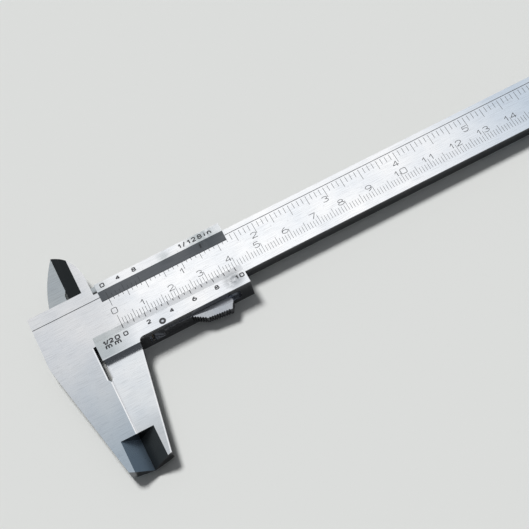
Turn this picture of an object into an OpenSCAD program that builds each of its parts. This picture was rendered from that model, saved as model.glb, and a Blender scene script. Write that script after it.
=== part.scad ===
// Vernier slide caliper with a quick-release thumb lever, lying face up and closed at zero.
// X runs along the beam towards its tail, Y runs across it towards the inside jaws,
// and Z stands out of the scale face.
// The origin is where the jaws' zero plane crosses the beam's lower guide edge, on the scale face.

/* [Beam] */
// Width of the beam between its two guide edges
beam_w = 17; // [15:0.5:20]
// Thickness of the beam and of the outside jaws
beam_t = 4; // [3.6:0.1:4.6]
// Longest opening of the jaws
measuring_range = 150; // [100:10:200]
// Distance of the head's left edge from the zero plane
head_l = 15.6; // [13:0.1:18]
// Height of the head above the beam's upper guide edge
head_rise = 2.6; // [2.2:0.1:3.6]
// Radius of the knee where the head runs into the fixed jaw
knee_r = 10; // [5:1:15]
// Distance of the scribed line below the beam's upper guide edge
line_drop = 1.8; // [1.2:0.1:2.4]
// Width of the scribed line
line_w = 0.25; // [0.15:0.05:0.4]
// Depth of the scribed line
line_d = 0.15; // [0.1:0.05:0.3]

/* [Outside jaws] */
// Distance of the jaws' tip corners below the beam's lower guide edge
jaw_l = 43.4; // [36:0.2:50]
// Distance that the tips run on from their corners to the zero plane
tip_drop = 0.8; // [0.3:0.1:1.5]
// Width of the fixed jaw at its tip
fixed_tip_w = 7.05; // [6.4:0.05:8]
// Width of the moving jaw at its tip
moving_tip_w = 6.8; // [6.4:0.05:8]
// Width of the moving jaw at the beam's lower guide edge
moving_root_w = 14; // [12:0.1:15]
// Distance from the beam to the start of the measuring faces
relief_l = 13.4; // [10:0.1:18]
// Set-back of the fixed jaw next to the beam
fixed_relief = 0.8; // [0.5:0.1:1.1]
// Set-back of the moving jaw next to the beam
moving_relief = 0.6; // [0.3:0.1:0.8]
// Length of the slant that ends each set-back
relief_slant = 1; // [0.5:0.1:2]
// Length of the knife-edge recess, up from the tip corners
recess_l = 10.8; // [8:0.2:14]
// Width of the recess in each jaw
recess_w = 5.4; // [4.6:0.1:6]
// Thickness left at the knife edges, at the back of the jaws
knife_land = 0.3; // [0.2:0.1:0.8]
// Distance that the recess's end wall leans towards the tips
recess_lean = 0.6; // [0.2:0.1:1]
// Gap between the outside jaws when they are closed
jaw_gap = 0.03; // [0.02:0.01:0.06]
// Width of the eased front edge along the measuring faces
ease_w = 0.4; // [0.2:0.1:0.6]
// Depth of the eased edge
ease_d = 0.05; // [0.02:0.01:0.1]

/* [Inside jaws] */
// Height of the inside jaws' tips above the beam's upper guide edge
inside_l = 20.4; // [16:0.2:24]
// Distance that the inside knife edges meet to the left of the zero plane
inside_x = 1; // [0.5:0.1:1.5]
// Distance of the fixed inside jaw's right side from the zero plane
fixed_inside_w = 6.4; // [6:0.05:7.2]
// Height above the head at which the fixed inside jaw's side starts to curve
fixed_curve_rise = 3.7; // [2:0.1:5]
// Distance of the moving inside jaw's left side from the zero plane, behind the head
moving_inside_w = 9.2; // [8:0.1:10]
// Depth behind the head at which the moving inside jaw's side starts to curve
moving_curve_drop = 9.3; // [7:0.1:12]
// Height of the moving inside jaw's web above the beam's upper guide edge
web_rise = 3.9; // [3:0.1:4.4]
// Width of the bevel that makes each knife edge
inside_bevel_w = 4.3; // [3.5:0.1:5]
// Thickness left at the inside knife edges
inside_land = 0.1; // [0.05:0.05:0.3]
// Width of the notch at the foot of the moving knife edge
notch_w = 0.85; // [0.5:0.05:1.2]
// Height of the notch above the head
notch_h = 3; // [2:0.1:5]
// Height of the slant that ends the notch
notch_slant = 1.7; // [1:0.1:2.5]

/* [Slider] */
// Distance of the slider's right end from the zero plane
slider_l = 51.5; // [49:0.5:58]
// Distance of the lower plate's left end from the zero plane
plate_x = 0.25; // [0.2:0.05:0.5]
// Distance of the upper strip's left end from the zero plane
upper_x = 7.9; // [7.7:0.1:9]
// Height of the front strips above the scale face
strip_t = 2.4; // [2:0.1:3]
// Height of the upper strip above the beam's upper guide edge
upper_rise = 1.75; // [1.6:0.05:2.4]
// Distance that the upper strip covers the beam
upper_cover = 3.7; // [3.2:0.1:4.5]
// Distance that the lower strip covers the beam
lower_cover = 2.95; // [2.4:0.05:3.6]
// Distance of the lower strip's edge below the beam
lower_drop = 5.3; // [5:0.1:6]
// Distance of the left plate's edge below the beam
plate_drop = 6.8; // [6.2:0.1:8]
// Distance of the left plate's step from the zero plane
plate_l = 13; // [12:0.1:13.6]
// Width of the upper bevel
upper_bevel_w = 2.3; // [1.8:0.1:3]
// Width of the lower bevel
lower_bevel_w = 3.4; // [2.6:0.1:4]
// Thickness of the bevels' thin edges
feather_t = 0.12; // [0.1:0.02:0.2]
// Thickness of the slider's back wall
back_t = 2; // [1.8:0.1:2.6]
// Thickness of the wall that runs below the beam
lower_wall = 1.62; // [1.4:0.02:1.8]
// Running gap between the slider and the beam
slide_gap = 0.08; // [0.05:0.01:0.12]

/* [Gib] */
// Thickness of the gib leaf above the beam
gib_t = 0.35; // [0.25:0.05:0.4]
// Width of the gib leaf
gib_w = 3; // [2.4:0.1:3.2]
// Distance from the slider's ends to the gib leaf
gib_inset = 2; // [1.5:0.1:4]
// Radius of the two gib screws
gib_screw_r = 0.8; // [0.6:0.05:1]
// Distance from the gib leaf's ends to the gib screws
gib_screw_inset = 7; // [4:0.5:10]

/* [Rear cover and depth rod] */
// Thickness of the rear cover
cover_t = 0.9; // [0.7:0.05:1.1]
// Length of the rear cover
cover_l = 30; // [27:0.5:32]
// Width of the rear cover
cover_w = 12; // [11:0.2:13]
// Distance of the rear cover's right end from the slider's right end
cover_inset = 1.5; // [1.2:0.1:2.5]
// Distance of the cover screws from the cover's edges
cover_screw_inset = 2.1; // [1.9:0.1:2.6]
// Radius of the cover screws' shanks
cover_screw_r = 0.7; // [0.5:0.05:0.8]
// Width of the depth rod
rod_w = 3; // [2.4:0.1:3.4]
// Thickness of the depth rod
rod_t = 1.7; // [1.4:0.1:1.8]
// Length of the rod's root that is riveted to the cover
rod_root_l = 16; // [12:0.5:18]
// Side gap between the rod and its groove
rod_gap = 0.15; // [0.1:0.05:0.3]
// Radius of the rod's rivets
rivet_r = 0.7; // [0.5:0.05:0.8]
// Distance of the rivets from the ends of the rod's root
rivet_inset = 3; // [2:0.1:4]

/* [End stop] */
// Length of the stop plate at the beam's tail
stop_l = 8.8; // [7:0.2:12]
// Width of the stop plate
stop_w = 14; // [12:0.2:15]
// Room left between the slider and the stop plate at full opening
stop_room = 1.7; // [0.8:0.1:3]
// Distance of the stop screws from the plate's edges
stop_screw_inset = 2.3; // [2.1:0.1:2.6]
// Radius of the stop screws' shanks
stop_screw_r = 0.9; // [0.7:0.05:1]
// Length of the stop screws' shanks in the beam
stop_screw_l = 1.8; // [1.4:0.1:2.2]

/* [Thumb lever] */
// Distance of the lever's pivot from the zero plane
pivot_x = 21.9; // [20.5:0.1:23]
// Distance of the lever's pivot below the beam
pivot_drop = 3.8; // [3.7:0.05:3.9]
// Radius of the pivot pin
pin_r = 0.8; // [0.6:0.05:0.9]
// Radial running gap of the lever on its pin
pin_gap = 0.05; // [0.02:0.01:0.08]
// Radius of the lever's boss round the pin
boss_r = 1.7; // [1.5:0.05:1.8]
// Thickness of the lever
lever_t = 3.7; // [3.2:0.1:3.8]
// Distance from the pivot to the middle of the locking nose
nose_x = 3.7; // [3.2:0.1:4]
// Radius of the locking nose
nose_r = 0.9; // [0.7:0.05:1]
// Distance from the pivot to the start of the thumb pad
pad_x = 8.5; // [8:0.1:9.5]
// Distance from the pivot to the end of the slope under the thumb pad
pad_slope_x = 13.1; // [12:0.1:14]
// Distance from the pivot to the thumb pad's right end
pad_l = 22.3; // [20:0.1:23]
// Distance of the thumb pad's left end below the beam
pad_left_drop = 5.7; // [5.6:0.05:6.2]
// Distance of the thumb pad's top below the beam, at its right end
pad_roof_drop = 5.4; // [5:0.1:5.8]
// Distance of the thumb pad's underside below the beam, where its slope ends
pad_drop = 8.4; // [7.8:0.1:9]
// Distance of the thumb pad's underside below the beam, at its right end
pad_end_drop = 9.3; // [9:0.1:11]
// Radius of the thumb pad's right end
pad_round_r = 1.4; // [1:0.1:1.6]
// Distance between the grooves under the thumb pad
serration_pitch = 0.8; // [0.6:0.05:1.2]
// Depth of the grooves under the thumb pad
serration_d = 0.3; // [0.2:0.05:0.4]
// Width of the slanted facet on the thumb pad's front
facet_w = 1.6; // [1.2:0.1:2.4]
// Slope of the slanted facet
facet_angle = 20; // [10:1:25]
// Length of the locking shoe
shoe_l = 2.4; // [1.8:0.1:2.6]
// Width of the locking shoe
shoe_w = 2.8; // [2:0.1:3.2]
// Height of the locking shoe
shoe_h = 2.15; // [1.9:0.05:2.3]
// Gap round the locking shoe
shoe_gap = 0.05; // [0.03:0.01:0.08]
// Thickness of the lever's leaf spring
leaf_t = 0.25; // [0.2:0.05:0.3]
// Width of the lever's leaf spring
leaf_w = 2.6; // [2:0.1:3]
// Length of the leaf spring's bent arm
leaf_l = 11; // [9:0.5:13]
// Length of the leaf spring's riveted end
leaf_tab_l = 2; // [1.8:0.1:2.4]
// Distance of the leaf spring from the right end of the lever's pocket
leaf_inset = 0.5; // [0.3:0.1:0.8]
// Radius of the rivet that holds the leaf spring
leaf_rivet_r = 0.5; // [0.4:0.05:0.6]

/* [Hidden] */
$fn = 48;

// A cut runs this far past the face that it opens
past = 0.1;
// Pieces that are fixed to each other keep this seat gap, so that their faces meet without overlapping
seat = 0.02;

// Levels across the beam's thickness
back_z = -beam_t;
mid_z = back_z/2;
wall_z = back_z - slide_gap;
slider_z = wall_z - back_t;
// The two inside jaws pass each other with this gap at the middle of the thickness
pass_gap = slide_gap + seat;
head_y = beam_w + head_rise;
inside_y = beam_w + inside_l;
strip_y = beam_w + upper_rise;
tail_x = slider_l + measuring_range + stop_room + stop_l;

// A gib pocket leaves this much room above the leaf
gib_y = beam_w + slide_gap + gib_t + 2*seat;
gib_x = [upper_x + gib_inset, slider_l - gib_inset];

// The rear cover lies in a recess of the back wall, flush with it
cover_x = [slider_l - cover_inset - cover_l, slider_l - cover_inset];
cover_y = [beam_w/2 - cover_w/2, beam_w/2 + cover_w/2];
cover_z = slider_z + cover_t + seat;
root_x = [(cover_x[0] + cover_x[1] - rod_root_l)/2, (cover_x[0] + cover_x[1] + rod_root_l)/2];
rod_y = [beam_w/2 - rod_w/2, beam_w/2 + rod_w/2];
rod_z = back_z + rod_gap/2;
groove_z = rod_z + rod_t + rod_gap;
// The cover screws' points stop short of the beam
cover_screw_tip = wall_z - seat;

stop_x = tail_x - stop_l;
stop_y = [beam_w/2 - stop_w/2, beam_w/2 + stop_w/2];

// The lever lies in a pocket between the lower strip and the back wall
pocket_roof = -slide_gap - lower_wall;
pocket_x = [pivot_x - nose_x - shoe_l/2 - nose_r, slider_l - 2*back_t];
pocket_z = [wall_z, slide_gap];
pocket_mid = (pocket_z[0] + pocket_z[1])/2;
lever_z = [pocket_mid - lever_t/2, pocket_mid + lever_t/2];
shoe_x = pivot_x - nose_x;
shoe_top = -slide_gap;
shoe_foot = shoe_top - shoe_h;
nose_y = shoe_foot - shoe_gap - nose_r;
pad_right = pivot_x + pad_l;
// The lever's top edge is a straight line from the top of its boss to the round of the pad's right end
lever_rise = -pivot_drop + boss_r;
function lever_top(x) = lever_rise - (pad_roof_drop + lever_rise)*(x - pivot_x)/(pad_l - pad_round_r);
// The leaf spring is riveted to the pocket's roof, and bends down in an arc to the lever's top edge
leaf_from = pocket_x[1] - leaf_inset - leaf_tab_l;
leaf_roof = pocket_roof - seat;
leaf_sag = leaf_roof - leaf_t - lever_top(leaf_from - leaf_l) - 3*seat;
leaf_r = (leaf_l*leaf_l + leaf_sag*leaf_sag)/(2*leaf_sag);
leaf_rivet_x = leaf_from + leaf_tab_l/2;

gib_screw_x = [gib_x[0] + gib_screw_inset, gib_x[1] - gib_screw_inset];
stop_screw_y = [stop_y[0] + stop_screw_inset, stop_y[1] - stop_screw_inset];
rivet_x = [root_x[0] + rivet_inset, root_x[1] - rivet_inset];
cover_screws = [for (x = [cover_x[0] + cover_screw_inset, cover_x[1] - cover_screw_inset])
                for (y = [cover_y[0] + cover_screw_inset, cover_y[1] - cover_screw_inset]) [x, y]];

function arc_points(centre, r, from, to, steps) =
    [for (i = [0:steps]) centre + r*[cos(from + (to - from)*i/steps), sin(from + (to - from)*i/steps)]];

// A box between two corners, given as a range on each axis
module block(x, y, z) {
    translate([x[0], y[0], z[0]])
        cube([x[1] - x[0], y[1] - y[0], z[1] - z[0]]);
}

// An outline in X and Y, raised between two levels
module raised(z) {
    translate([0, 0, z[0]])
        linear_extrude(z[1] - z[0])
            children();
}

// An outline in Y and Z, run along the beam
module along_beam(x) {
    translate([x[0], 0, 0])
        rotate([90, 0, 90])
            linear_extrude(x[1] - x[0])
                children();
}

// An outline in X and Z, run across the beam
module across_beam(y) {
    translate([0, y[1], 0])
        rotate([90, 0, 0])
            linear_extrude(y[1] - y[0])
                children();
}

module hole(x, y, z, r) {
    translate([x, y, z[0]])
        cylinder(h = z[1] - z[0], r = r);
}

// The bevelled recess of one outside jaw. It is cut on the left of the zero plane.
module knife_recess() {
    floor_z = back_z + knife_land;
    lean_angle = atan(recess_lean/-floor_z);
    end_y = -jaw_l + recess_l;
    difference() {
        across_beam([-jaw_l - tip_drop - past, end_y + recess_w])
            polygon([[-recess_w, 0], [-recess_w, past], [past, past], [past, floor_z], [0, floor_z]]);
        translate([-recess_w - past, end_y, 0])
            rotate([-lean_angle, 0, 0])
                translate([0, 0, -2*beam_t])
                    cube([recess_w + 3*past, 3*recess_w, 4*beam_t]);
    }
}

// The eased front edges of one outside jaw, cut on the left of the zero plane
module eased_edges(relief) {
    for (edge = [[0, [-jaw_l - tip_drop - past, -relief_l]], [-relief, [-relief_l + relief_slant, 0]]])
        translate([edge[0], 0, 0])
            across_beam(edge[1])
                polygon([[-ease_w, 0], [-ease_w, past], [past, past], [past, -ease_d], [0, -ease_d]]);
}

// The curved outline of an inside jaw of the given width and foot, on the right of its knife edge
module inside_jaw_outline(w, curve_y, foot_y) {
    rise = inside_y - curve_y;
    r = (w*w + rise*rise)/(2*w);
    start = asin(max(foot_y - curve_y, 0)/r);
    straight = curve_y > foot_y ? [[w, foot_y]] : [];
    curve = arc_points([w - r, curve_y], r, start, asin(rise/r), 32);
    polygon(concat([[0, foot_y]], straight, curve));
}

// The bevel that thins an inside jaw to its knife edge, cut on the right of that edge
module inside_bevel(face_z, edge_z) {
    out = face_z > edge_z ? past : -past;
    across_beam([head_y, inside_y + past])
        polygon([[inside_bevel_w, face_z], [inside_bevel_w, face_z + out], [-past, face_z + out],
                 [-past, edge_z], [0, edge_z]]);
}

module fixed_jaw_outline() {
    taper = atan((head_l - fixed_tip_w)/jaw_l);
    knee = arc_points([-head_l + knee_r, knee_r*tan(taper/2)], knee_r, 180, 180 + taper, 6);
    polygon(concat([[-past, head_y], [-head_l, head_y]], knee,
                   [[-fixed_tip_w, -jaw_l + tip_drop], [-recess_w, -jaw_l], [0, -jaw_l - tip_drop],
                    [0, -relief_l], [-fixed_relief, -relief_l + relief_slant], [-fixed_relief, 0],
                    [-past, 0]]));
}

module beam() {
    color("gainsboro")
        difference() {
            union() {
                block([-fixed_relief, tail_x], [0, beam_w], [back_z, 0]);
                raised([back_z, 0])
                    fixed_jaw_outline();
                block([-head_l/2, fixed_inside_w], [beam_w - line_drop, head_y], [back_z, 0]);
                raised([mid_z, 0])
                    translate([-inside_x, 0])
                        inside_jaw_outline(fixed_inside_w + inside_x, head_y + fixed_curve_rise,
                                           beam_w - line_drop);
            }
            // Half of the head's thickness is open for the moving inside jaw
            block([-moving_inside_w - 4*slide_gap, fixed_inside_w + past], [beam_w, inside_y],
                  [back_z - past, mid_z]);
            translate([-inside_x, 0, 0])
                inside_bevel(0, mid_z + inside_land);
            knife_recess();
            eased_edges(fixed_relief);
            block([-head_l - past, tail_x + past], [beam_w - line_drop - line_w, beam_w - line_drop],
                  [-line_d, past]);
            block([root_x[0] - 1, tail_x + past], [rod_y[0] - rod_gap, rod_y[1] + rod_gap],
                  [back_z - past, groove_z]);
            for (y = stop_screw_y)
                hole(stop_x + stop_l/2, y, [back_z - past, back_z + stop_screw_l + seat], stop_screw_r + seat);
        }
}

// A slotted countersunk screw that points up from the given level
module slotted_screw(x, y, z, shank_r, tip_z) {
    head_r = 2*shank_r;
    color("darkgray")
        translate([x, y, z])
            difference() {
                union() {
                    cylinder(h = shank_r, r1 = head_r, r2 = shank_r);
                    cylinder(h = tip_z - z, r = shank_r);
                }
                translate([-head_r, -shank_r/4, -past])
                    cube([2*head_r, shank_r/2, shank_r/2 + past]);
            }
}

// The hole that a slotted countersunk screw fills
module screw_hole(x, y, z, shank_r, tip_z) {
    translate([x, y, z]) {
        cylinder(h = shank_r + 2*seat, r1 = 2*(shank_r + seat), r2 = shank_r + seat);
        translate([0, 0, -past])
            cylinder(h = tip_z - z + 2*past, r = shank_r + seat);
        translate([0, 0, -past])
            cylinder(h = past + seat, r = 2*(shank_r + seat));
    }
}

module end_stop() {
    color("silver")
        difference() {
            block([stop_x, tail_x], stop_y, [slider_z, back_z - seat]);
            for (y = stop_screw_y)
                screw_hole(stop_x + stop_l/2, y, slider_z, stop_screw_r, back_z);
        }
}

module stop_screw(which) {
    slotted_screw(stop_x + stop_l/2, stop_screw_y[which], slider_z + seat, stop_screw_r,
                  back_z + stop_screw_l);
}

module moving_jaw_outline() {
    polygon([[jaw_gap, -jaw_l - tip_drop], [recess_w, -jaw_l], [moving_tip_w, -jaw_l + tip_drop/2],
             [moving_root_w, 0], [moving_root_w, -slide_gap], [moving_relief, -slide_gap],
             [moving_relief, -relief_l + relief_slant], [jaw_gap, -relief_l]]);
}

// The lower strip steps down to a deeper plate above the moving jaw
module lower_front() {
    round_r = plate_drop - lower_drop;
    along_beam([plate_x, slider_l])
        polygon([[-lower_drop, slide_gap], [-lower_drop, strip_t], [lower_cover - lower_bevel_w, strip_t],
                 [lower_cover, slide_gap + feather_t], [lower_cover, slide_gap]]);
    difference() {
        block([plate_x, plate_l + round_r], [-plate_drop, -lower_drop + seat], [-past, strip_t]);
        hole(plate_l + round_r, -plate_drop, [-2*past, strip_t + past], round_r);
    }
}

module upper_front() {
    along_beam([upper_x, slider_l])
        polygon([[beam_w - upper_cover, slide_gap], [beam_w - upper_cover, slide_gap + feather_t],
                 [beam_w - upper_cover + upper_bevel_w, strip_t], [strip_y, strip_t], [strip_y, slide_gap]]);
}

module moving_inside_jaw() {
    top_z = mid_z - pass_gap;
    difference() {
        union() {
            raised([back_z, top_z])
                translate([-inside_x, 0])
                    mirror([1, 0])
                        inside_jaw_outline(moving_inside_w - inside_x, head_y - moving_curve_drop,
                                           beam_w + slide_gap);
            block([-moving_inside_w, upper_x + back_t], [beam_w + slide_gap, head_y], [slider_z, top_z]);
            // The web behind the fixed inside jaw slopes down to the upper strip
            raised([slider_z, top_z])
                polygon([[fixed_inside_w/2, beam_w + slide_gap], [upper_x + back_t, beam_w + slide_gap],
                         [upper_x + back_t, strip_y], [upper_x, beam_w + web_rise],
                         [fixed_inside_w/2, beam_w + web_rise]]);
        }
        translate([-inside_x, 0, 0]) {
            mirror([1, 0, 0])
                inside_bevel(back_z, top_z - inside_land);
            // The notch lets the knife edge end clear of the head
            raised([back_z - past, top_z + past])
                polygon([[past, head_y - head_rise/2], [-notch_w, head_y - head_rise/2],
                         [-notch_w, head_y + notch_h], [-jaw_gap, head_y + notch_h + notch_slant],
                         [past, head_y + notch_h + notch_slant]]);
            block([-jaw_gap, past], [head_y, inside_y + past], [back_z - past, top_z + past]);
        }
    }
}

module slider() {
    color("lightgray")
        difference() {
            union() {
                block([plate_x, slider_l], [-lower_drop, strip_y], [slider_z, wall_z]);
                block([upper_x, slider_l], [beam_w + slide_gap, strip_y], [slider_z, strip_t]);
                block([moving_relief, slider_l], [-lower_drop, -slide_gap], [slider_z, slide_gap + feather_t]);
                lower_front();
                upper_front();
                raised([back_z, 0])
                    moving_jaw_outline();
                moving_inside_jaw();
            }
            lever_pocket();
            gib_pocket();
            cover_recess();
            translate([jaw_gap, 0, 0])
                mirror([1, 0, 0]) {
                    knife_recess();
                    eased_edges(moving_relief - jaw_gap);
                }
            // The pin's hole is countersunk at the front
            hole(pivot_x, -pivot_drop, [slider_z - past, strip_t + past], pin_r + seat);
            translate([pivot_x, -pivot_drop, strip_t - pin_r/2])
                cylinder(h = pin_r/2 + seat, r1 = pin_r + seat, r2 = 1.4*pin_r);
        }
}

module lever_pocket() {
    block(pocket_x, [-lower_drop - past, pocket_roof], pocket_z);
    block([shoe_x - shoe_l/2 - shoe_gap, shoe_x + shoe_l/2 + shoe_gap], [pocket_roof - past, past],
          [pocket_mid - shoe_w/2 - shoe_gap, pocket_mid + shoe_w/2 + shoe_gap]);
    // The leaf spring's rivet stands in the pocket's roof
    leaf_rivet_hole();
}

module gib_pocket() {
    block(gib_x, [beam_w, gib_y], [mid_z - gib_w/2 - seat, mid_z + gib_w/2 + seat]);
    for (x = gib_screw_x)
        translate([x, gib_y - past, mid_z])
            rotate([-90, 0, 0])
                cylinder(h = strip_y - gib_y + 2*past, r = gib_screw_r + seat);
}

module gib_leaf() {
    color("goldenrod")
        block([gib_x[0] + seat, gib_x[1] - seat], [gib_y - seat - gib_t, gib_y - seat],
              [mid_z - gib_w/2, mid_z + gib_w/2]);
}

module gib_screw(which) {
    color("dimgray")
        translate([gib_screw_x[which], gib_y, mid_z])
            rotate([-90, 0, 0])
                difference() {
                    cylinder(h = strip_y - gib_y - seat, r = gib_screw_r);
                    translate([-2*gib_screw_r, -gib_screw_r/5, (strip_y - gib_y)/2])
                        cube([4*gib_screw_r, gib_screw_r/2.5, strip_y]);
                }
}

module cover_recess() {
    block([cover_x[0] - seat, cover_x[1] + seat], [cover_y[0] - seat, cover_y[1] + seat],
          [slider_z - past, cover_z]);
    block([root_x[0] - rod_gap, root_x[1] + rod_gap], [rod_y[0] - rod_gap, rod_y[1] + rod_gap],
          [cover_z - past, wall_z + past]);
    for (p = cover_screws)
        hole(p[0], p[1], [cover_z - past, wall_z + past], cover_screw_r + seat);
}

module rear_cover() {
    color("silver")
        difference() {
            block(cover_x, cover_y, [slider_z + seat, cover_z - seat]);
            for (p = cover_screws)
                screw_hole(p[0], p[1], slider_z + seat, cover_screw_r, cover_z);
            for (x = rivet_x)
                hole(x, beam_w/2, [slider_z - past, cover_z + past], rivet_r + seat);
        }
}

module cover_screw(which) {
    slotted_screw(cover_screws[which][0], cover_screws[which][1], slider_z + 2*seat, cover_screw_r,
                  cover_screw_tip);
}

module depth_rod() {
    color("gainsboro")
        difference() {
            union() {
                block([root_x[0], tail_x], rod_y, [rod_z, rod_z + rod_t]);
                block(root_x, rod_y, [cover_z, rod_z + rod_t]);
            }
            for (x = rivet_x)
                hole(x, beam_w/2, [cover_z - past, rod_z + rod_t/2], rivet_r + seat);
            // The rod's end is cut back on one side so that it clears a corner's fillet
            translate([tail_x, rod_y[0], rod_z - past])
                rotate([0, 0, 45])
                    cube([rod_w, rod_w/2, rod_t + 2*past], center = false);
        }
}

module rod_rivet(which) {
    color("darkgray")
        hole(rivet_x[which], beam_w/2, [slider_z + 2*seat, rod_z + rod_t/2 - seat], rivet_r);
}

module pivot_pin() {
    color("gray")
        hole(pivot_x, -pivot_drop, [slider_z + seat, strip_t - seat], pin_r);
}

module leaf_rivet_hole() {
    translate([leaf_rivet_x, leaf_roof - 2*leaf_t, pocket_mid])
        rotate([-90, 0, 0])
            cylinder(h = 2*leaf_t + lower_wall, r = leaf_rivet_r + seat);
}

// The leaf's upper face leaves the pocket's roof in a tangent arc
module lever_leaf() {
    sweep = asin(leaf_l/leaf_r);
    centre = [leaf_from, leaf_roof - leaf_r];
    tab_x = leaf_from + leaf_tab_l;
    color("dimgray")
        difference() {
            raised([pocket_mid - leaf_w/2, pocket_mid + leaf_w/2])
                polygon(concat([[tab_x, leaf_roof - leaf_t], [tab_x, leaf_roof]],
                               arc_points(centre, leaf_r, 90, 90 + sweep, 12),
                               arc_points(centre, leaf_r - leaf_t, 90 + sweep, 90, 12)));
            leaf_rivet_hole();
        }
}

// The rivet's head holds the leaf from below
module leaf_rivet() {
    color("darkgray")
        translate([leaf_rivet_x, leaf_roof - leaf_t - seat, pocket_mid])
            rotate([-90, 0, 0]) {
                cylinder(h = leaf_t + seat + lower_wall, r = leaf_rivet_r);
                translate([0, 0, -leaf_rivet_r/2])
                    cylinder(h = leaf_rivet_r/2, r = 1.8*leaf_rivet_r);
            }
}

module lock_shoe() {
    color("goldenrod")
        block([shoe_x - shoe_l/2, shoe_x + shoe_l/2], [shoe_foot, shoe_top],
              [pocket_mid - shoe_w/2, pocket_mid + shoe_w/2]);
}

// One row of grooves under the thumb pad, between two points of its underside
module serrations(from, to) {
    run = norm(to - from);
    count = floor(run/serration_pitch);
    side = serration_d*sqrt(2);
    for (i = [0:count - 1])
        translate(from + (to - from)*(i + 0.5)*serration_pitch/run)
            rotate(45)
                square(side, center = true);
}

module lever_outline() {
    slope_start = [pivot_x + pad_x, -pad_left_drop];
    slope_end = [pivot_x + pad_slope_x, -pad_drop];
    foot = [pad_right - pad_round_r, -pad_end_drop];
    round_at = [pad_right - pad_round_r, -pad_roof_drop - pad_round_r];
    difference() {
        union() {
            translate([pivot_x, -pivot_drop])
                circle(r = boss_r);
            translate([shoe_x, nose_y])
                circle(r = nose_r);
            // The neck stays low, so that only the nose meets the shoe as the lever turns
            polygon([[shoe_x, nose_y], [shoe_x, nose_y - nose_r], [pivot_x, -pivot_drop - boss_r],
                     [pivot_x, lever_rise]]);
            translate(round_at)
                circle(r = pad_round_r);
            polygon([[pivot_x, lever_rise], [pivot_x, -pivot_drop - boss_r], slope_start, slope_end, foot,
                     [pad_right, round_at[1]], round_at, [round_at[0], -pad_roof_drop]]);
        }
        serrations(slope_start, slope_end);
        serrations(slope_end, foot);
    }
}

module thumb_lever() {
    color("silver")
        difference() {
            raised(lever_z)
                lever_outline();
            hole(pivot_x, -pivot_drop, [lever_z[0] - past, lever_z[1] + past], pin_r + pin_gap);
            // A slanted facet runs along the front of the thumb pad
            translate([pivot_x + pad_x, -pad_left_drop, lever_z[1]])
                rotate([0, 0, -atan((pad_end_drop - facet_w - pad_left_drop)/(pad_l - pad_x))])
                    rotate([facet_angle, 0, 0])
                        translate([-past, -pad_drop, 0])
                            cube([2*pad_l, pad_drop, lever_t]);
        }
}

beam();
end_stop();
stop_screw(0);  // stop_screw_lower
stop_screw(1);  // stop_screw_upper
slider();
gib_leaf();
gib_screw(0);  // gib_screw_left
gib_screw(1);  // gib_screw_right
rear_cover();
cover_screw(0);  // cover_screw_1
cover_screw(1);  // cover_screw_2
cover_screw(2);  // cover_screw_3
cover_screw(3);  // cover_screw_4
depth_rod();
rod_rivet(0);  // rod_rivet_left
rod_rivet(1);  // rod_rivet_right
pivot_pin();
lever_leaf();
leaf_rivet();
lock_shoe();
thumb_lever();
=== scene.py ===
"""A 150 mm vernier caliper with a thumb-lever lock, lying on its back with the jaws closed."""
import math
from typing import NamedTuple

import bmesh
import bpy
from mathutils import Matrix, Vector


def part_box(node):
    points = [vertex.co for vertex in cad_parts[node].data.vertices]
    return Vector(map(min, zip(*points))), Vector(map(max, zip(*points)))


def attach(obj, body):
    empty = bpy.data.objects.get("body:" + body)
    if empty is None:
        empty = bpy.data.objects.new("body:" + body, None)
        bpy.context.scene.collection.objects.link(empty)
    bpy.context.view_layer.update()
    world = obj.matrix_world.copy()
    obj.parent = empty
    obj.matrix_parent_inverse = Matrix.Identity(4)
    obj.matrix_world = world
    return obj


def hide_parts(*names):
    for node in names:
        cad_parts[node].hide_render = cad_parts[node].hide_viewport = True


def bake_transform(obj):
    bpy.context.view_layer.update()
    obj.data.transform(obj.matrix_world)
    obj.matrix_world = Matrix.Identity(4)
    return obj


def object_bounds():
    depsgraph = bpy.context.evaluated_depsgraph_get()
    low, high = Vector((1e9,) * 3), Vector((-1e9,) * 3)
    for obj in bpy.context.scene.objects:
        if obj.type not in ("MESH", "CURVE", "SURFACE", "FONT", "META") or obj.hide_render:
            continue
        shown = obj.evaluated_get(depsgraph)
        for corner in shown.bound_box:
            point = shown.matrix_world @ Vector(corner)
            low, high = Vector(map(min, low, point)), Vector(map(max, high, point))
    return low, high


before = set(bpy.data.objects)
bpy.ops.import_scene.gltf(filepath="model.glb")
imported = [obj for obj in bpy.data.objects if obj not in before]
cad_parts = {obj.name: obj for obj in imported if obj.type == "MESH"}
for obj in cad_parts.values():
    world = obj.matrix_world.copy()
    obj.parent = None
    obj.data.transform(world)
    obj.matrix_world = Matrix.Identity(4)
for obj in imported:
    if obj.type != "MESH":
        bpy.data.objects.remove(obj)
box_at_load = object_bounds()


# Beam: the head, the fixed outside and inside jaws and the graduated beam, one piece of stainless
# steel. It is milled, hardened and ground, which leaves fine lines along it under a cloudy satin
# sheen.
MM = 0.001
ALONG_X = Vector((1, 0, 0))
ALONG_Y = Vector((0, 1, 0))
ALONG_Z = Vector((0, 0, 1))
EDGE_BREAK = 0.12 * MM
EDGE_SEGMENTS = 2
SQUARE_EDGE = 30
SAME_PLACE = 0.0005 * MM

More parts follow.
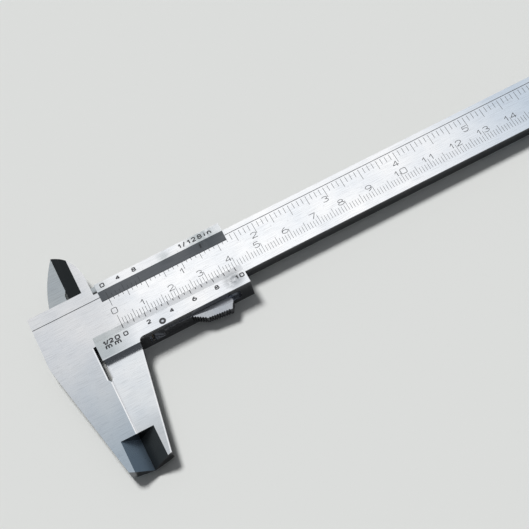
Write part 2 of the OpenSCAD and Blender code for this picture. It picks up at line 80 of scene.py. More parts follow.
BEAM_PALE = (0.78, 0.78, 0.78, 1)
STEEL_CLOUD = (0.82, 0.87, 0.93, 1)
# Painted highlight: the scale past the head is painted whiter for the bright sky that it mirrors.
SCALE_PAINTED_HIGHLIGHT = (1.0, 1.0, 1.0, 1)
# Painted reflection: the tail end is painted bluer and darker for the room that it mirrors.
TAIL_PAINTED_REFLECTION = (0.70, 0.77, 0.84, 1)
# Painted shade: the fixed jaw is painted darker and bluer down its length.
FIXED_JAW_PAINTED_SHADE = (0.41, 0.47, 0.52, 1)
# Painted reflection: the knife faces of the fixed jaws are painted blue-grey and near black for the
# dark room that they mirror.
FIXED_KNIFE_PAINTED_REFLECTION = (0.16, 0.21, 0.26, 1)
INSIDE_KNIFE_PAINTED_REFLECTION = (0.038, 0.042, 0.042, 1)
# Painted highlight: faces of the eased edges, and a line along the moving jaw's edge, are painted
# white.
EDGE_PAINTED_HIGHLIGHT = (0.93, 0.93, 0.93, 1)
# Milled sides go to a duller grey, partly their own tone and partly painted shade; sides facing -Y
# are painted near black as shade.
MILLED_GREY_AND_SHADE = (0.17, 0.17, 0.175, 1)
LOWER_SIDE_SHADE = (0.065, 0.065, 0.068, 1)
SCRATCH_GREY = (0.68, 0.68, 0.69, 1)

SATIN_ROUGHNESS = 0.17
MILLED_DULL = 0.9
LINES_ALONG_BEAM = (60, 2600, 2600)
GRIND_DEPTH = 0.004 * MM

OBJECT_NORMAL = "Normal"
OBJECT_PLACE = "Object"
MIX_SHARE, MIX_FIRST, MIX_SECOND, MIX_RESULT = 0, 6, 7, 2
NOISE_ROUGHNESS = 0.55
NOISE_DETAIL = 3.0


class Wire:
    """One output socket of a finish's nodes. A sum written on it adds its Math nodes."""

    def __init__(self, socket):
        self.socket = socket

    @classmethod
    def node(cls, tree, kind, settings=None, sockets=None, output=0):
        """A new node's output: its settings come first, then the values or links of its sockets."""
        made = tree.nodes.new(kind)
        for name, value in (settings or {}).items():
            if name == "stops":
                ramp = made.color_ramp
                while len(ramp.elements) < len(value):
                    ramp.elements.new(1.0)
                for element, (place, colour) in zip(ramp.elements, value):
                    element.position = place
                    element.color = colour
            else:
                setattr(made, name, value)
        for name, value in (sockets or {}).items():
            if isinstance(value, Wire):
                tree.links.new(value.socket, made.inputs[name])
            else:
                made.inputs[name].default_value = value
        return cls(made.outputs[output])

    def math(self, operation, first, second=0.0):
        """A Math node's output, in the tree that this socket is in."""
        tree = self.socket.id_data
        return Wire.node(tree, "ShaderNodeMath", {"operation": operation}, {0: first, 1: second})

    def __abs__(self):
        return self.math("ABSOLUTE", self)

    def __add__(self, other):
        return self.math("ADD", self, other)

    def __sub__(self, other):
        return self.math("SUBTRACT", self, other)

    def __rsub__(self, other):
        return self.math("SUBTRACT", other, self)

    def __mul__(self, other):
        return self.math("MULTIPLY", self, other)

    __radd__ = __add__
    __rmul__ = __mul__


def new_finish(name):
    """An empty finish: its material, its node tree and its surface shader."""
    finish = bpy.data.materials.new(name)
    finish.use_nodes = True
    tree = finish.node_tree
    return finish, tree, tree.nodes["Principled BSDF"]


def feed(tree, shader, **values):
    """Sets or links the shader's sockets, named with underscores for spaces."""
    for name, value in values.items():
        socket = shader.inputs[name.replace("_", " ")]
        if isinstance(value, Wire):
            tree.links.new(value.socket, socket)
        else:
            socket.default_value = value


def noise(tree, per_metre, detail=NOISE_DETAIL):
    """Noise on the piece's own coordinates, with its grains per metre along X, Y and Z."""
    place = Wire.node(tree, "ShaderNodeTexCoord", output=OBJECT_PLACE)
    stretched = Wire.node(tree, "ShaderNodeMapping", sockets={"Vector": place, "Scale": per_metre})
    return Wire.node(tree, "ShaderNodeTexNoise",
                     sockets={"Vector": stretched, "Scale": 1.0, "Detail": detail,
                              "Roughness": NOISE_ROUGHNESS})


def blend(tree, amount, first, second, how="MIX"):
    """A colour between two colours, or the first one darkened by the second."""
    return Wire.node(tree, "ShaderNodeMix", {"data_type": "RGBA", "blend_type": how},
                     {MIX_SHARE: amount, MIX_FIRST: first, MIX_SECOND: second}, MIX_RESULT)


def spread(tree, value, low, high):
    """A value stretched so that low becomes 0 and high becomes 1, held between them."""
    return Wire.node(tree, "ShaderNodeMapRange", {"clamp": True},
                     {"Value": value, "From Min": low, "From Max": high})


def along(tree, what, direction):
    """How far a place, a surface's facing or a line of sight goes along a direction."""
    vector = Wire.node(tree, "ShaderNodeTexCoord", output=what)
    return Wire.node(tree, "ShaderNodeVectorMath", {"operation": "DOT_PRODUCT"},
                     {0: vector, 1: direction}, "Value")


def distance_from(tree, centre):
    """How far a place on the piece is from a point."""
    place = Wire.node(tree, "ShaderNodeTexCoord", output=OBJECT_PLACE)
    return Wire.node(tree, "ShaderNodeVectorMath", {"operation": "DISTANCE"},
                     {0: place, 1: centre}, "Value")


class Patch(NamedTuple):
    """A part with another colour. Each of its ranges holds a direction, where along it the colour
    starts and where it is full."""
    colour: tuple
    ranges: list


class Smudge(NamedTuple):
    """A thumbed spot with uneven edges."""
    colour: tuple
    centre: Vector
    radius: float


class Facet(NamedTuple):
    """Front faces that lean one way: the lean at which they start and are full, their own colour,
    if any, and how much duller and how matt they are."""
    towards: Vector
    lean: tuple
    colour: tuple | None = None
    duller: float = 0.0
    matt: float = 0.0


# What grinding and use leave on steel: the grains per metre, where in the noise each shows, and how
# much it dulls and tints the face.
CLOUD_GRAIN, CLOUD_DETAIL, CLOUD_SHOWS = (70, 70, 70), 4.0, (0.35, 0.7)
SPECK_GRAIN, SPECK_DETAIL, SPECK_SHOWS = (900, 900, 900), 2.0, (0.62, 0.75)
SMUDGE_GRAIN, SMUDGE_CORE, SMUDGE_SHOWS = (500, 500, 500), 0.25, (0.25, 0.5)
SCRATCHES_PER_LINE, SCRATCH_DETAIL, SCRATCH_SHOWS = 3, 1.0, (0.5, 0.72)
LINE_DETAIL = 2.0
POLISH = 0.05
CLOUD_DULLS, LINE_DULLS, SPECK_DULLS, SCRATCH_DULLS = 0.07, 0.04, 0.05, 0.05
CLOUD_TINTS, LINE_TINTS, SPECK_TINTS, SCRATCH_TINTS = 0.55, 0.1, 0.2, 0.45
LINE_BUMP, SCRATCH_CUTS = 0.15, 0.5
FACES_FRONT = (0.6, 0.75)
FACES_SIDEWAYS = (0.2, 0.5)
FACES_DOWN = (0.2, 0.6)


def within(tree, ranges):
    """How far a place on the piece lies inside all of some ranges."""
    share, *others = [spread(tree, along(tree, OBJECT_PLACE, direction), start, full)
                      for direction, start, full in ranges]
    for other in others:
        share = share * other
    return share


def ground_steel(name, pale, cloud, roughness, lines_per_metre, line_depth, milled=0.0,
                 patches=(), smudges=(), facets=()):
    """Ground steel: cloudy colour, with fine grinding lines and scratches in its gloss and bump.
    milled is how far its milled sides go to a duller grey, which is partly their own tone and
    partly painted shade; the sides facing -Y go near black, as painted shade."""
    finish, tree, shader = new_finish(name)
    clouds = spread(tree, noise(tree, CLOUD_GRAIN, CLOUD_DETAIL), *CLOUD_SHOWS)
    lines = noise(tree, lines_per_metre, LINE_DETAIL)
    finer = [rate * SCRATCHES_PER_LINE for rate in lines_per_metre]
    scratches = spread(tree, noise(tree, finer, SCRATCH_DETAIL), *SCRATCH_SHOWS)
    specks = spread(tree, noise(tree, SPECK_GRAIN, SPECK_DETAIL), *SPECK_SHOWS)
    colour, metal = pale, 1.0
    gloss = (roughness - POLISH + clouds * CLOUD_DULLS + lines * LINE_DULLS
             + specks * SPECK_DULLS + scratches * SCRATCH_DULLS)
    for patch in patches:
        colour = blend(tree, within(tree, patch.ranges), colour, patch.colour)
    for smudge in smudges:
        away = spread(tree, distance_from(tree, smudge.centre),
                      smudge.radius * SMUDGE_CORE, smudge.radius)
        uneven = spread(tree, noise(tree, SMUDGE_GRAIN), *SMUDGE_SHOWS)
        colour = blend(tree, (1 - away) * uneven, colour, smudge.colour)
    front = spread(tree, along(tree, OBJECT_NORMAL, ALONG_Z), *FACES_FRONT) if facets else None
    for facet in facets:
        share = front * spread(tree, along(tree, OBJECT_NORMAL, facet.towards), *facet.lean)
        colour = blend(tree, share, colour, facet.colour) if facet.colour else colour
        gloss = gloss + share * facet.duller if facet.duller else gloss
        metal = metal - share * facet.matt if facet.matt else metal
    if milled:
        sides = 1 - spread(tree, abs(along(tree, OBJECT_NORMAL, ALONG_Z)), *FACES_SIDEWAYS)
        shaded_below = spread(tree, along(tree, OBJECT_NORMAL, -ALONG_Y), *FACES_DOWN)
        colour = blend(tree, sides * milled, colour, blend(tree, shaded_below, MILLED_GREY_AND_SHADE, LOWER_SIDE_SHADE))
    colour = blend(tree, clouds * CLOUD_TINTS + lines * LINE_TINTS, colour, cloud, "MULTIPLY")
    colour = blend(tree, scratches * SCRATCH_TINTS + specks * SPECK_TINTS, colour, SCRATCH_GREY,
                   "MULTIPLY")
    height = Wire.node(tree, "ShaderNodeBump",
                       sockets={"Strength": LINE_BUMP, "Distance": line_depth,
                                "Height": lines - scratches * SCRATCH_CUTS})
    feed(tree, shader, Base_Color=colour, Metallic=metal, Normal=height, Roughness=gloss)
    return finish


def dress(finish, *nodes, sharpest=SQUARE_EDGE):
    """Gives CAD nodes a finish, and breaks the edges that turn more than so many degrees."""
    for name in nodes:
        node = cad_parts[name]
        for held in node.material_slots:
            held.material = finish
        weld = node.modifiers.new("weld", "WELD")
        weld.merge_threshold = SAME_PLACE
        edge = node.modifiers.new("edge_break", "BEVEL")
        edge.width = EDGE_BREAK
        edge.segments = EDGE_SEGMENTS
        edge.limit_method = "ANGLE"
        edge.angle_limit = math.radians(sharpest)
        edge.harden_normals = True


DOWN_FIXED_JAW = (ALONG_Y, 6 * MM, -36 * MM)
PAST_HEAD = (ALONG_X, 5 * MM, 20 * MM)
TOWARDS_TAIL = (ALONG_X, 122 * MM, 156 * MM)
EASED_LEAN = (0.05, 0.1)
KNIFE_LEAN = (0.2, 0.3)
KNIFE_DULLS = 0.12
# Its patches and facets paint light and shade: a highlight on the scale, a reflection at the tail,
# shade down the fixed jaw, dark reflections on the knife faces and highlights on eased edges.
beam_steel = ground_steel(
    "beam_steel", BEAM_PALE, STEEL_CLOUD, SATIN_ROUGHNESS, LINES_ALONG_BEAM, GRIND_DEPTH,
    milled=MILLED_DULL,
    patches=[Patch(FIXED_JAW_PAINTED_SHADE, [DOWN_FIXED_JAW]),
             Patch(SCALE_PAINTED_HIGHLIGHT, [PAST_HEAD]),
             Patch(TAIL_PAINTED_REFLECTION, [TOWARDS_TAIL])],
    facets=[Facet(ALONG_X, EASED_LEAN, EDGE_PAINTED_HIGHLIGHT),
            Facet(ALONG_X, KNIFE_LEAN, FIXED_KNIFE_PAINTED_REFLECTION, duller=KNIFE_DULLS),
            Facet(-ALONG_X, KNIFE_LEAN, INSIDE_KNIFE_PAINTED_REFLECTION, duller=KNIFE_DULLS)])
dress(beam_steel, "beam")


# Scale on the beam: millimetres along the lower edge and sixteenths of an inch under the scribed
# line. The marks are engraved and filled black, and the fill has worn paler where the slider runs.
INCH = 25.4 * MM
SCALE_ZERO_X = 10.25 * MM
MARK_RISE = 0.02 * MM
beam_low, beam_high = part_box("beam")
face_z = beam_high[2]
MM_ROW_Y = 2.85 * MM
MM_SPACES = 190
MM_LENGTHS = (2.3 * MM, 3.35 * MM, 3.75 * MM)
MM_EVERY = (5, 10)
MM_MARK_W = 0.14 * MM
INCH_ROW_Y = 14.5 * MM
INCH_SPACES = 118
SIXTEENTH = INCH / 16
INCH_LENGTHS = (2.2 * MM, 3.5 * MM, 4.0 * MM)
INCH_EVERY = (4, 8)
INCH_MARK_W = 0.155 * MM

FILL_BLACK = ((0.012, 0.012, 0.014, 1), (0.05, 0.05, 0.055, 1))
FILL_WORN = ((0.07, 0.07, 0.075, 1), (0.17, 0.17, 0.18, 1))
FILL_WEARS = (ALONG_X, 16 * MM, 44 * MM)
FILL_ROUGHNESS, FILL_UNEVEN = 0.45, 0.2


def fill_paint(name, fresh, worn=None):
    """Paint in engraved marks, speckled between two colours. Along the beam it may wear paler."""
    finish, tree, shader = new_finish(name)
    speckle = noise(tree, SPECK_GRAIN)
    colour = blend(tree, speckle, *fresh)
    if worn:
        colour = blend(tree, within(tree, [FILL_WEARS]), colour, blend(tree, speckle, *worn))
    feed(tree, shader, Base_Color=colour, Roughness=FILL_ROUGHNESS + speckle * FILL_UNEVEN)
    return finish


beam_fill = fill_paint("beam_fill", FILL_BLACK, FILL_WORN)


UNIT_MARK = (1, 1, 1)
ON_ITS_FOOT = (0, 0.5, 0)
UNDER_ONE_MARK = 0.5


def graduation_tree():
    """Geometry nodes for a row of marks along X that stand up in Y, in three lengths."""
    tree = bpy.data.node_groups.new("graduation", "GeometryNodeTree")
    face = tree.interface
    for name, kind in (("Marks", "NodeSocketInt"), ("Pitch", "NodeSocketFloat"),
                       ("Width", "NodeSocketFloat"), ("Rise", "NodeSocketFloat"),
                       ("Short", "NodeSocketFloat"), ("Middle", "NodeSocketFloat"),
                       ("Long", "NodeSocketFloat"), ("Middle every", "NodeSocketInt"),
                       ("Long every", "NodeSocketInt"), ("Fill", "NodeSocketMaterial")):
        face.new_socket(name, in_out="INPUT", socket_type=kind)
    face.new_socket("Row", in_out="OUTPUT", socket_type="NodeSocketGeometry")
    inputs = tree.nodes.new("NodeGroupInput").outputs

    def add(kind, settings=None, sockets=None):
        return Wire.node(tree, kind, settings, sockets)

    def given(name):
        return Wire(inputs[name])

    def falls_on(every):
        index = add("GeometryNodeInputIndex")
        rest = add("ShaderNodeMath", {"operation": "MODULO"}, {0: index, 1: every})
        return add("ShaderNodeMath", {"operation": "COMPARE"}, {0: rest, 1: 0.0, 2: UNDER_ONE_MARK})

    def choose(when, no, yes):
        return add("GeometryNodeSwitch", {"input_type": "FLOAT"},
                   {"Switch": when, "False": no, "True": yes})

    step = add("ShaderNodeCombineXYZ", sockets={"X": given("Pitch")})
    points = add("GeometryNodeMeshLine", {"mode": "OFFSET"},
                 {"Count": given("Marks"), "Offset": step})
    mark = add("GeometryNodeMeshCube", sockets={"Size": UNIT_MARK})
    raised = add("GeometryNodeTransform", sockets={"Geometry": mark, "Translation": ON_ITS_FOOT})
    shorter = choose(falls_on(given("Middle every")), given("Short"), given("Middle"))
    length = choose(falls_on(given("Long every")), shorter, given("Long"))
    size = add("ShaderNodeCombineXYZ",
               sockets={"X": given("Width"), "Y": length, "Z": given("Rise")})
    row = add("GeometryNodeInstanceOnPoints",
              sockets={"Points": points, "Instance": raised, "Scale": size})
    solid = add("GeometryNodeRealizeInstances", sockets={"Geometry": row})
    filled = add("GeometryNodeSetMaterial", sockets={"Geometry": solid, "Material": given("Fill")})
    result = tree.nodes.new("NodeGroupOutput")
    tree.links.new(filled.socket, result.inputs["Row"])
    return tree


graduation = graduation_tree()


def as_mesh(maker):
    """The plain mesh that an object with nodes, or a curve, comes to. The object itself goes."""
    bpy.context.scene.collection.objects.link(maker)
    seen = maker.evaluated_get(bpy.context.evaluated_depsgraph_get())
    mesh = bpy.data.meshes.new_from_object(seen)
    bpy.data.objects.remove(maker)
    return mesh


def new_piece(name, mesh, finish):
    """A piece at the origin, with its place in its mesh."""
    mesh.materials.clear()
    mesh.materials.append(finish)
    piece = bpy.data.objects.new(name, mesh)
    bpy.context.scene.collection.objects.link(piece)
    return piece


def engrave(piece, body):
    """Lets a fill move with the body that it is cut into."""
    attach(piece, body)


def mark_row(name, place, marks, pitch, lengths, every, width, body, fill):
    """A row of filled marks: short, middle and long lengths, put where place says."""
    seed = bpy.data.objects.new(name + "_seed", bpy.data.meshes.new(name + "_seed"))
    maker = seed.modifiers.new("graduation", "NODES")
    maker.node_group = graduation
    values = {"Marks": marks, "Pitch": pitch, "Width": width, "Rise": MARK_RISE,
              "Short": lengths[0], "Middle": lengths[1], "Long": lengths[2],
              "Middle every": every[0], "Long every": every[1], "Fill": fill}
    for item in graduation.interface.items_tree:
        if item.in_out == "INPUT":
            maker[item.identifier] = values[item.name]
    mesh = as_mesh(seed)
    mesh.transform(place)
    engrave(new_piece(name, mesh, fill), body)


def row_place(x, y, z, tilt=0.0, hanging=False):
    """Where a row starts; a hanging row is turned half round, so its pitch is negative."""
    turn = Matrix.Rotation(math.pi, 4, "Z") if hanging else Matrix.Identity(4)
    return Matrix.Translation((x, y, z)) @ Matrix.Rotation(tilt, 4, "X") @ turn


mark_row("millimetre_marks", row_place(SCALE_ZERO_X, MM_ROW_Y, face_z), MM_SPACES + 1, MM,
         MM_LENGTHS, MM_EVERY, MM_MARK_W, "beam", beam_fill)
mark_row("inch_marks", row_place(SCALE_ZERO_X, INCH_ROW_Y, face_z, hanging=True), INCH_SPACES + 1,
         -SIXTEENTH, INCH_LENGTHS, INCH_EVERY, INCH_MARK_W, "beam", beam_fill)


# Figures on the beam: cut with a round engraving cutter, which lifts at each sharp turn, and filled
# as the marks are. Each figure is drawn in a unit square.
ARC_STEP = 22.5
FIGURE_W = 2.0 * MM
FIGURE_H = 2.0 * MM
FIGURE_STROKE = 0.22 * MM
STROKE_ROUNDING = 1
FIGURE_PITCH = 2.6 * MM
FIGURE_GAP = 0.25 * MM
CM = 10 * MM
LAST_CM, LAST_INCH = 18, 7
CM_BASE_Y = 5.7 * MM
INCH_BASE_Y = 9.3 * MM
ZERO_BASE_Y = 7.5 * MM
ZERO_SHIFT = 0.1 * MM
ZERO_W = 1.8 * MM


def arc(x, y, rx, ry, start, end):
    """Points round part of an ellipse, from one angle to another in degrees."""
    steps = max(4, round(abs(end - start) / ARC_STEP))
    turns = [math.radians(start + (end - start) * i / steps) for i in range(steps + 1)]
    return [(x + rx * math.cos(t), y + ry * math.sin(t)) for t in turns]


STROKES = {
    "0": [arc(0.78, 0.22, 0.22, 0.22, -90, 0) + arc(0.78, 0.78, 0.22, 0.22, 0, 90)
          + arc(0.22, 0.78, 0.22, 0.22, 90, 180) + arc(0.22, 0.22, 0.22, 0.22, 180, 270)
          + [(0.78, 0.0)]],
    "1": [[(0.3, 0.62), (0.68, 1.0)], [(0.68, 1.0), (0.68, 0.0)]],
    "2": [arc(0.5, 0.7, 0.46, 0.3, 165, -40), [(0.85, 0.5), (0.05, 0.02)],
          [(0.05, 0.0), (1.0, 0.0)]],
    "3": [arc(0.48, 0.76, 0.44, 0.24, 150, -90), arc(0.48, 0.26, 0.5, 0.26, 90, -150)],
    "4": [[(0.72, 0.0), (0.72, 1.0)], [(0.72, 1.0), (0.02, 0.3)], [(0.02, 0.3), (1.0, 0.3)]],
    "5": [[(0.92, 1.0), (0.14, 1.0)], [(0.14, 1.0), (0.08, 0.54)],
          arc(0.47, 0.32, 0.5, 0.32, 135, -150)],
    "6": [arc(0.8, 0.3, 0.8, 0.7, 95, 180) + arc(0.5, 0.3, 0.5, 0.3, 180, 540)],
    "7": [[(0.0, 1.0), (1.0, 1.0)], [(1.0, 1.0), (0.38, 0.0)]],
    "8": [arc(0.5, 0.76, 0.42, 0.24, -90, 270), arc(0.5, 0.26, 0.5, 0.26, 90, 450)],
    "9": [arc(0.2, 0.7, 0.8, 0.7, -85, 0) + arc(0.5, 0.7, 0.5, 0.3, 0, 360)],
    "/": [[(0.2, -0.05), (0.8, 1.05)]],
    "m": [[(0.0, 0.0), (0.0, 0.7)], arc(0.25, 0.4, 0.25, 0.3, 180, 0) + [(0.5, 0.0)],
          arc(0.75, 0.4, 0.25, 0.3, 180, 0) + [(1.0, 0.0)]],
    "i": [[(0.5, 0.0), (0.5, 0.7)], [(0.5, 0.92), (0.5, 1.0)]],
    "n": [[(0.1, 0.0), (0.1, 0.7)], arc(0.5, 0.35, 0.4, 0.35, 180, 0) + [(0.9, 0.0)]],
}


class Word(NamedTuple):
    """Figures in a row: their middle, the line they stand on, and one figure's size and step."""
    text: str
    centre_x: float
    base_y: float
    width: float
    height: float
    pitch: float = 0.0


def close_seams(mesh):
    """Joins the corners of a mesh that lie at one place."""
    joined = bmesh.new()
    joined.from_mesh(mesh)
    bmesh.ops.remove_doubles(joined, verts=joined.verts, dist=SAME_PLACE)
    joined.to_mesh(mesh)
    joined.free()


def lettering(name, words, stroke, z, body, fill):
    """Engraved words in one piece, flattened to the height of the marks and laid on a face."""
    curve = bpy.data.curves.new(name, "CURVE")
    curve.dimensions = "3D"
    curve.bevel_depth = stroke / 2
    curve.bevel_resolution = STROKE_ROUNDING
    curve.use_fill_caps = True
    for word in words:
        first_x = word.centre_x - (len(word.text) - 1) * word.pitch / 2 - word.width / 2
        for place, figure in enumerate(word.text):
            for line in STROKES[figure]:
                spline = curve.splines.new("POLY")
                spline.points.add(len(line) - 1)
                for point, (x, y) in zip(spline.points, line):
                    point.co = (first_x + place * word.pitch + x * word.width,
                                word.base_y + y * word.height, 0, 1)
    mesh = as_mesh(bpy.data.objects.new(name + "_strokes", curve))
    close_seams(mesh)
    mesh.transform(Matrix.Translation((0, 0, z)) @ Matrix.Diagonal((1, 1, MARK_RISE / stroke, 1)))
    engrave(new_piece(name, mesh, fill), body)


def beam_word(number, mark_x, base_y):
    """A single figure stands left of its mark, and a pair of figures on both sides of it."""
    centre_x = mark_x if number > 9 else mark_x - FIGURE_GAP - FIGURE_W / 2
    return Word(str(number), centre_x, base_y, FIGURE_W, FIGURE_H, FIGURE_PITCH)


beam_words = [beam_word(number, SCALE_ZERO_X + number * CM, CM_BASE_Y)
              for number in range(1, LAST_CM + 1)]
beam_words += [beam_word(number, SCALE_ZERO_X + number * INCH, INCH_BASE_Y)
               for number in range(1, LAST_INCH + 1)]
beam_words += [Word("0", SCALE_ZERO_X - ZERO_SHIFT, ZERO_BASE_Y, ZERO_W, FIGURE_H)]
lettering("beam_figures", beam_words, FIGURE_STROKE, face_z, "beam", beam_fill)


# Scribed line: a fine groove along the whole beam over the inch marks, cut when the beam is
# ground. The black strip laid in it is painted shade of the groove.
GUIDE_LINE_Y = (14.95 * MM, 15.2 * MM)
GUIDE_LINE_Z = (-0.15 * MM, -0.04 * MM)
GUIDE_LINE_INSET = 0.02 * MM


def bar(name, x, y, z, finish):
    """A rectangular strip between two places on each axis."""
    corners = [(a, b, c) for a in x for b in y for c in z]
    faces = [(0, 1, 3, 2), (4, 6, 7, 5), (0, 4, 5, 1), (2, 3, 7, 6), (0, 2, 6, 4), (1, 5, 7, 3)]
    mesh = bpy.data.meshes.new(name)
    mesh.from_pydata(corners, [], faces)
    return new_piece(name, mesh, finish)


guide_line_x = (beam_low[0] + GUIDE_LINE_INSET, beam_high[0] - GUIDE_LINE_INSET)
engrave(bar("guide_line_painted_shade", guide_line_x, GUIDE_LINE_Y, GUIDE_LINE_Z, beam_fill), "beam")


# End stop: a small ground steel plate across the back of the tail, which keeps the slider on the
# beam. Two countersunk slotted screws of turned steel hold it.
SCREW_GREY = (0.62, 0.63, 0.65, 1)
SCREW_ROUGHNESS = 0.3
TURNED_GRAIN = (1800, 1800, 1800)
TURNED_DEPTH = 0.003 * MM
turned_steel = ground_steel("turned_steel", SCREW_GREY, STEEL_CLOUD, SCREW_ROUGHNESS,
                            TURNED_GRAIN, TURNED_DEPTH)
dress(beam_steel, "end_stop")
dress(turned_steel, "stop_screw_lower", "stop_screw_upper")


# Slider: the moving jaws and the bridge over the beam, milled and ground from one piece of
# stainless steel. Its two bevelled strips carry the verniers, and the lower bevel is left matt.
STRIP_PALE = (0.96, 0.96, 0.96, 1)
# Painted shade: the slider is painted greyer towards its left end by the plate; the same grey also
# tints one smudge on the upper strip.
PLATE_SHADE_AND_SMUDGE_GREY = (0.55, 0.58, 0.58, 1)
# Painted shade: the moving jaw is painted darker step by step from under the plate down to its tip.
JAW_PALE = (0.86, 0.87, 0.87, 1)
JAW_TIP_SHADE = (0.77, 0.79, 0.80, 1)
JAW_END_SHADE = (0.58, 0.60, 0.61, 1)
# Painted shade: the moving inside jaw and the web behind the face are painted darker.
INSIDE_JAW_SHADE = (0.43, 0.46, 0.47, 1)
# Painted reflection: the moving jaws' knife faces are painted near black for the dark room that
# they mirror.
MOVING_KNIFE_PAINTED_REFLECTION = (0.055, 0.062, 0.064, 1)
# Painted reflection: faces leaning to -Y, the upper bevel, are painted dark for the dark room in
# front that they mirror.
UPPER_BEVEL_PAINTED_REFLECTION = (0.10, 0.105, 0.11, 1)
SMUDGE_GREY = (0.43, 0.44, 0.45, 1)
THUMBED_GREY = (0.70, 0.72, 0.72, 1)
# Painted shade: the web behind the face is painted near black in the corner left of the upper
# strip, next to the beam.
CORNER_PAINTED_SHADE = (0.06, 0.062, 0.062, 1)

JAW_EDGE_OUT = Vector((0.9865, -0.1637, 0))
TOWARDS_PLATE = (ALONG_X, 14 * MM, 4 * MM)
BELOW_PLATE = (ALONG_Y, -6.2 * MM, -7.2 * MM)
DOWN_JAW = (ALONG_Y, -12 * MM, -22 * MM)
AT_JAW_END = (ALONG_Y, -26 * MM, -36 * MM)
AT_JAW_EDGE = (JAW_EDGE_OUT, 13.2 * MM, 13.5 * MM)
ABOVE_BEAM = (ALONG_Y, 17 * MM, 17.2 * MM)
ABOVE_HEAD = (ALONG_Y, 18.8 * MM, 19.1 * MM)
BEHIND_FACE = (ALONG_Z, -1 * MM, -2 * MM)
LEFT_OF_STRIP = (ALONG_X, 8.2 * MM, 7.8 * MM)
NEAR_BEAM = (ALONG_Y, 19.3 * MM, 18.8 * MM)
UPPER_BEVEL_LEAN = (0.5, 0.6)
LOWER_BEVEL_LEAN = (0.3, 0.4)
BEVEL_DULLS, BEVEL_MATT = 0.2, 0.5

strip_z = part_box("slider")[1][2]
# Its patches and facets paint light and shade: shade at the plate end, down the moving jaw, on the
# inside jaw and in a corner, dark reflections on the knife faces and the upper bevel, and
# highlights on eased edges and along the jaw's edge. The smudges are dirt.
slider_steel = ground_steel(
    "slider_steel", STRIP_PALE, STEEL_CLOUD, SATIN_ROUGHNESS, LINES_ALONG_BEAM, GRIND_DEPTH,
    milled=MILLED_DULL,
    patches=[Patch(PLATE_SHADE_AND_SMUDGE_GREY, [TOWARDS_PLATE]),
             Patch(JAW_PALE, [BELOW_PLATE]),
             Patch(JAW_TIP_SHADE, [DOWN_JAW]),
             Patch(JAW_END_SHADE, [AT_JAW_END]),
             Patch(EDGE_PAINTED_HIGHLIGHT, [BELOW_PLATE, AT_JAW_EDGE]),
             Patch(INSIDE_JAW_SHADE, [ABOVE_BEAM, BEHIND_FACE]),
             Patch(INSIDE_JAW_SHADE, [ABOVE_HEAD]),
             Patch(CORNER_PAINTED_SHADE, [LEFT_OF_STRIP, NEAR_BEAM, BEHIND_FACE])],
    smudges=[Smudge(SMUDGE_GREY, Vector((47.2 * MM, -2.0 * MM, strip_z)), 4 * MM),
             Smudge(THUMBED_GREY, Vector((31.5 * MM, 16.6 * MM, strip_z)), 3 * MM),
             Smudge(PLATE_SHADE_AND_SMUDGE_GREY, Vector((45.0 * MM, 16.5 * MM, strip_z)), 8 * MM)],
    facets=[Facet(-ALONG_X, EASED_LEAN, EDGE_PAINTED_HIGHLIGHT),
            Facet(-ALONG_X, KNIFE_LEAN, MOVING_KNIFE_PAINTED_REFLECTION, duller=KNIFE_DULLS),
            Facet(-ALONG_Y, UPPER_BEVEL_LEAN, UPPER_BEVEL_PAINTED_REFLECTION),
            Facet(ALONG_Y, LOWER_BEVEL_LEAN, duller=BEVEL_DULLS, matt=BEVEL_MATT)])
dress(slider_steel, "slider")


# Verniers: engraved on the slider's bevels and filled black. The lower one has 20 spaces of
# 1.95 mm. The upper one has 8 spaces of 7/128 inch and, further right, a short wide stop mark.
FEATHER_Z = 0.2 * MM
LOWER_FEATHER_Y, LOWER_CREST_Y = 2.95 * MM, -0.45 * MM
UPPER_FEATHER_Y, UPPER_CREST_Y = 13.3 * MM, 15.6 * MM
VERNIER_SPACES = 20
VERNIER_STEP = 1.95 * MM
VERNIER_LENGTHS = (1.5 * MM, 2.4 * MM, 2.8 * MM)
VERNIER_EVERY = (2, 4)
VERNIER_MARK_W = 0.27 * MM
INCH_VERNIER_SPACES = 8
INCH_VERNIER_STEP = 7 / 128 * INCH
INCH_VERNIER_LENGTHS = (1.3 * MM, 1.3 * MM, 2.2 * MM)
WORN_MARK_W = 0.14 * MM
STOP_AT = Vector((43.2, 14.1, 0.965)) * MM
STOP_LENGTHS = (1.45 * MM, 1.45 * MM, 1.45 * MM)
STOP_W = 0.55 * MM

STRIP_FILL = ((0.03, 0.03, 0.033, 1), (0.10, 0.10, 0.105, 1))
BEVEL_WORN = ((0.05, 0.05, 0.055, 1), (0.16, 0.16, 0.17, 1))
slider_fill = fill_paint("slider_fill", STRIP_FILL)
bevel_fill = fill_paint("bevel_fill", BEVEL_WORN)

lower_tilt = math.atan2(strip_z - FEATHER_Z, LOWER_FEATHER_Y - LOWER_CREST_Y)
upper_tilt = math.atan2(strip_z - FEATHER_Z, UPPER_CREST_Y - UPPER_FEATHER_Y)
mark_row("millimetre_vernier",
         row_place(SCALE_ZERO_X, LOWER_FEATHER_Y, FEATHER_Z, -lower_tilt, hanging=True),
         VERNIER_SPACES + 1, -VERNIER_STEP, VERNIER_LENGTHS, VERNIER_EVERY, VERNIER_MARK_W,
         "slider", slider_fill)
mark_row("inch_vernier",
         row_place(SCALE_ZERO_X, UPPER_FEATHER_Y, FEATHER_Z, upper_tilt),
         INCH_VERNIER_SPACES + 1, INCH_VERNIER_STEP, INCH_VERNIER_LENGTHS, VERNIER_EVERY,
         WORN_MARK_W, "slider", bevel_fill)
mark_row("inch_vernier_stop", row_place(*STOP_AT, upper_tilt), 1, MM, STOP_LENGTHS, (1, 1), STOP_W,
         "slider", slider_fill)


